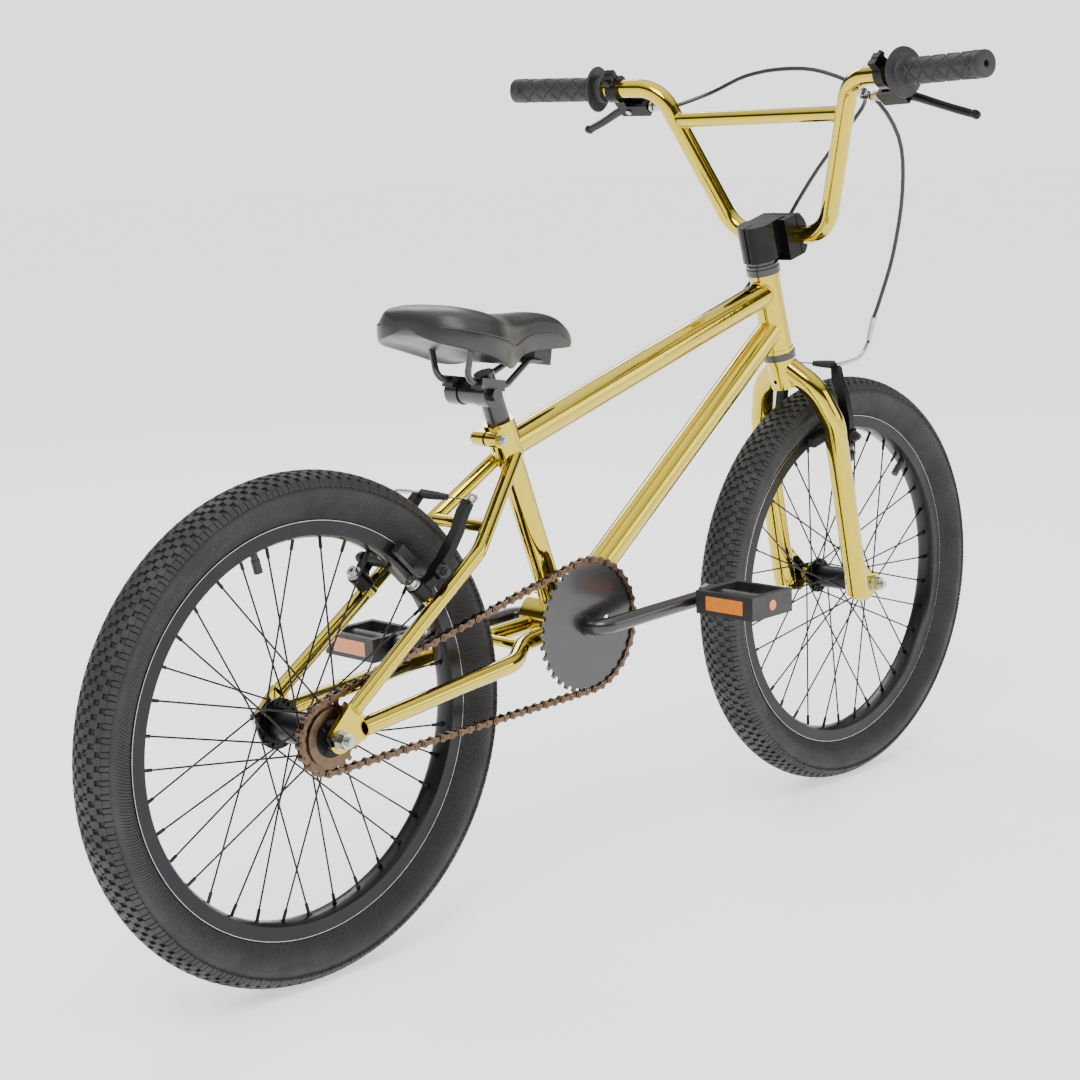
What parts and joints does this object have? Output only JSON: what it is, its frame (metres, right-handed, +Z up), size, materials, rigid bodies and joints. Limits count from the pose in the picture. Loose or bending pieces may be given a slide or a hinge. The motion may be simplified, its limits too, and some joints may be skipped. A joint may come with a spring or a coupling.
{
  "type": "bmx bicycle",
  "caption": "Small-wheeled bicycle with high-rise handlebar, low sloping frame, knobbly tyres, single-speed chain drive and rim brakes.",
  "frame": {"origin": "on the ground, midway between the two axles, in the middle plane", "axes": "+X forward, +Y to the rider's left, +Z up; steering straight ahead at rest"},
  "size_m": [1.4037, 0.706, 0.9095],
  "materials": {
    "gold": "clear gold coat over polished metal",
    "black_metal": "satin black",
    "black_alloy": "satin black anodised",
    "machined": "turned bare metal with a black coat beside the brake track",
    "steel": "zinc plated",
    "bronze_steel": "brown oiled steel",
    "tyre": "matt black rubber",
    "rubber": "matt black rubber",
    "pad": "matt brake rubber",
    "black_plastic": "grained black",
    "reflector": "amber",
    "housing": "black cable housing",
    "cover": "smooth black artificial leather"
  },
  "bodies": {
    "frame": {"head_tube": "gold", "top_tube": "gold", "down_tube": "gold", "seat_tube": "gold", "bottom_bracket_shell": "gold", "chain_stays": "gold", "seat_stays": "gold", "stay_bridges": "gold", "frame_bolts": "steel", "headset_cups": "black_metal", "bottom_bracket_cups": "black_metal", "rear_axle": "steel", "rear_brake_cable": "housing", "chain": "bronze_steel"},
    "fork": {"steerer": "black_metal", "fork_legs": "gold", "headset_nuts": "black_metal", "front_axle": "steel", "stem": "black_alloy", "stem_cap": "black_alloy", "fork_bolts": "steel", "handlebar": "gold", "grip_left": "rubber", "grip_right": "rubber", "lever_mounts": "black_alloy", "front_brake_cable": "housing"},
    "front_wheel": {"front_tyre": "tyre", "front_inner_tube": "rubber", "front_rim": "machined", "front_spokes": "black_metal", "front_hub": "black_alloy"},
    "rear_wheel": {"rear_tyre": "tyre", "rear_inner_tube": "rubber", "rear_rim": "machined", "rear_spokes": "black_metal", "rear_hub": "black_alloy"},
    "freewheel": {"freewheel": "bronze_steel"},
    "crank": {"crank": "black_metal", "chainring": "black_metal", "crank_cones": "black_metal", "pedal_spindles": "steel"},
    "pedal_left": {"pedal_left": "black_plastic", "pedal_reflectors_left": "reflector"},
    "pedal_right": {"pedal_right": "black_plastic", "pedal_reflectors_right": "reflector"},
    "lever_left": {"lever_left": "black_alloy"},
    "lever_right": {"lever_right": "black_alloy"},
    "rear_arm_left": {"rear_brake_arm_left": "black_alloy", "rear_brake_pad_left": "pad"},
    "rear_arm_right": {"rear_brake_arm_right": "black_alloy", "rear_brake_pad_right": "pad"},
    "front_arm_left": {"front_brake_arm_left": "black_alloy", "front_brake_pad_left": "pad"},
    "front_arm_right": {"front_brake_arm_right": "black_alloy", "front_brake_pad_right": "pad"},
    "seatpost": {"seatpost": "black_metal"},
    "saddle": {"rail_clamp": "black_metal", "saddle_rails": "black_metal", "saddle_base": "black_plastic", "saddle": "cover"}
  },
  "joints": [
    {"name": "steering", "type": "hinge", "parent": "frame", "child": "fork", "pos_m": [0.32468, 0, 0.56035], "axis": [-0.2588, 0, 0.9659], "range_deg": [-60, 60], "deforming": ["rear_brake_cable"]},
    {"name": "front_wheel_spin", "type": "hinge", "parent": "fork", "child": "front_wheel", "pos_m": [0.444, 0, 0.258], "axis": [0, 1, 0], "continuous": true},
    {"name": "rear_wheel_spin", "type": "hinge", "parent": "frame", "child": "rear_wheel", "pos_m": [-0.444, 0, 0.258], "axis": [0, 1, 0], "continuous": true},
    {"name": "crank_spin", "type": "hinge", "parent": "frame", "child": "crank", "pos_m": [-0.07339, 0, 0.299], "axis": [0, 1, 0], "continuous": true, "deforming": ["chain"]},
    {"name": "freewheel_spin", "type": "hinge", "parent": "frame", "child": "freewheel", "pos_m": [-0.444, 0, 0.258], "axis": [0, 1, 0], "continuous": true},
    {"name": "left_pedal_spin", "type": "hinge", "parent": "crank", "child": "pedal_left", "pos_m": [-0.22481, 0, 0.28575], "axis": [0, 1, 0], "continuous": true},
    {"name": "right_pedal_spin", "type": "hinge", "parent": "crank", "child": "pedal_right", "pos_m": [0.07804, 0, 0.31225], "axis": [0, 1, 0], "continuous": true},
    {"name": "left_lever", "type": "hinge", "parent": "fork", "child": "lever_left", "pos_m": [0.29368, 0.20177, 0.85869], "axis": [0.639, 0.1079, 0.7616], "range_deg": [0, 22], "stiffness_Nm_per_rad": 0.5, "springref_deg": -20.05, "deforming": ["front_brake_cable"]},
    {"name": "right_lever", "type": "hinge", "parent": "fork", "child": "lever_right", "pos_m": [0.29368, -0.20177, 0.85869], "axis": [-0.639, 0.1079, -0.7616], "range_deg": [0, 22], "stiffness_Nm_per_rad": 0.5, "springref_deg": -20.05},
    {"name": "front_left_brake_arm", "type": "hinge", "parent": "fork", "child": "front_arm_left", "pos_m": [0.39594, 0.045, 0.42578], "axis": [0.9986, 0, 0.0523], "range_deg": [0, 3]},
    {"name": "front_right_brake_arm", "type": "hinge", "parent": "fork", "child": "front_arm_right", "pos_m": [0.39594, -0.045, 0.42578], "axis": [-0.9986, 0, -0.0523], "range_deg": [0, 3]},
    {"name": "rear_left_brake_arm", "type": "hinge", "parent": "frame", "child": "rear_arm_left", "pos_m": [-0.31948, 0.045, 0.38217], "axis": [0.7021, 0, -0.712], "range_deg": [0, 3]},
    {"name": "rear_right_brake_arm", "type": "hinge", "parent": "frame", "child": "rear_arm_right", "pos_m": [-0.31948, -0.045, 0.38217], "axis": [-0.7021, 0, 0.712], "range_deg": [0, 3]},
    {"name": "seatpost_height", "type": "slide", "parent": "frame", "child": "seatpost", "axis": [-0.3338, 0, 0.9426], "range_m": [0, 0.06]},
    {"name": "saddle_tilt", "type": "hinge", "parent": "seatpost", "child": "saddle", "pos_m": [-0.19093, 0, 0.56502], "axis": [0, 1, 0], "range_deg": [-4, 8]}
  ],
  "couplings": [
    {"joint": "freewheel_spin", "follows": "crank_spin", "ratio": 2},
    {"joint": "front_left_brake_arm", "follows": "left_lever", "ratio": 0.135},
    {"joint": "front_right_brake_arm", "follows": "left_lever", "ratio": 0.135},
    {"joint": "rear_left_brake_arm", "follows": "right_lever", "ratio": 0.135},
    {"joint": "rear_right_brake_arm", "follows": "right_lever", "ratio": 0.135}
  ]
}
